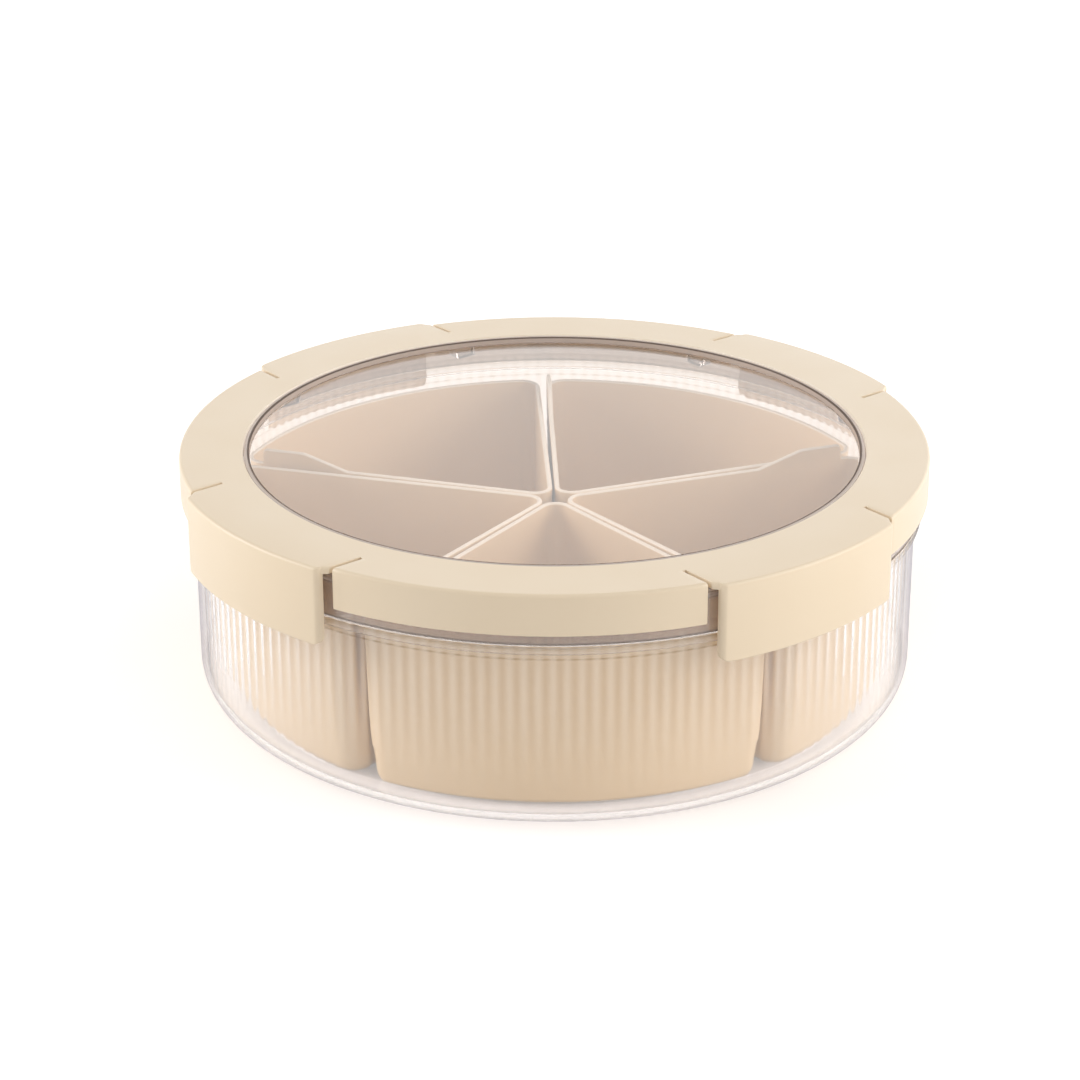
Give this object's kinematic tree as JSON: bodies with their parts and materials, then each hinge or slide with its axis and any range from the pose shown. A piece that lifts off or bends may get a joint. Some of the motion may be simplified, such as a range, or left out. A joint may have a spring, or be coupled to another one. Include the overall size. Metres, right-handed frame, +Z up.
{
  "type": "divided nut tray",
  "caption": "Round clear serving bowl with loose wedge-shaped snack boxes under a clip-down lid: clear window, cream ring and hinged latches.",
  "frame": {"origin": "centre of the bowl's underside", "axes": "+Z up through the centre of the lid; -Y towards the front fixed stretch of the lid ring, with the latches on the diagonals"},
  "size_m": [0.274, 0.274, 0.0905],
  "materials": {
    "lid_plastic": "satin moulded",
    "box_plastic": "satin moulded",
    "clear_plastic": "clear polished",
    "seal_silicone": "matte"
  },
  "bodies": {
    "bowl": {"bowl": "clear_plastic"},
    "box_1": {"box_1": "box_plastic"},
    "box_2": {"box_2": "box_plastic"},
    "box_3": {"box_3": "box_plastic"},
    "box_4": {"box_4": "box_plastic"},
    "box_5": {"box_5": "box_plastic"},
    "lid": {"lid_ring": "lid_plastic", "lid_plate": "clear_plastic", "seal_ring": "seal_silicone"},
    "latch_front_right": {"latch_front_right": "lid_plastic"},
    "latch_back_right": {"latch_back_right": "lid_plastic"},
    "latch_back_left": {"latch_back_left": "lid_plastic"},
    "latch_front_left": {"latch_front_left": "lid_plastic"}
  },
  "joints": [
    {"name": "lid_lift", "type": "slide", "parent": "bowl", "child": "lid", "axis": [0, 0, 1], "range_m": [0, 0.15]},
    {"name": "box_1_lift", "type": "slide", "parent": "bowl", "child": "box_1", "axis": [0, 0, 1], "range_m": [0, 0.008]},
    {"name": "box_2_lift", "type": "slide", "parent": "bowl", "child": "box_2", "axis": [0, 0, 1], "range_m": [0, 0.008]},
    {"name": "box_3_lift", "type": "slide", "parent": "bowl", "child": "box_3", "axis": [0, 0, 1], "range_m": [0, 0.008]},
    {"name": "box_4_lift", "type": "slide", "parent": "bowl", "child": "box_4", "axis": [0, 0, 1], "range_m": [0, 0.008]},
    {"name": "box_5_lift", "type": "slide", "parent": "bowl", "child": "box_5", "axis": [0, 0, 1], "range_m": [0, 0.008]},
    {"name": "latch_front_right_hinge", "type": "hinge", "parent": "lid", "child": "latch_front_right", "pos_m": [0.08372, -0.08372, 0.0905], "axis": [-0.7071, -0.7071, 0], "range_deg": [0, 85]},
    {"name": "latch_back_right_hinge", "type": "hinge", "parent": "lid", "child": "latch_back_right", "pos_m": [0.08372, 0.08372, 0.0905], "axis": [0.7071, -0.7071, 0], "range_deg": [0, 85]},
    {"name": "latch_back_left_hinge", "type": "hinge", "parent": "lid", "child": "latch_back_left", "pos_m": [-0.08372, 0.08372, 0.0905], "axis": [0.7071, 0.7071, 0], "range_deg": [0, 85]},
    {"name": "latch_front_left_hinge", "type": "hinge", "parent": "lid", "child": "latch_front_left", "pos_m": [-0.08372, -0.08372, 0.0905], "axis": [-0.7071, 0.7071, 0], "range_deg": [0, 85]}
  ]
}
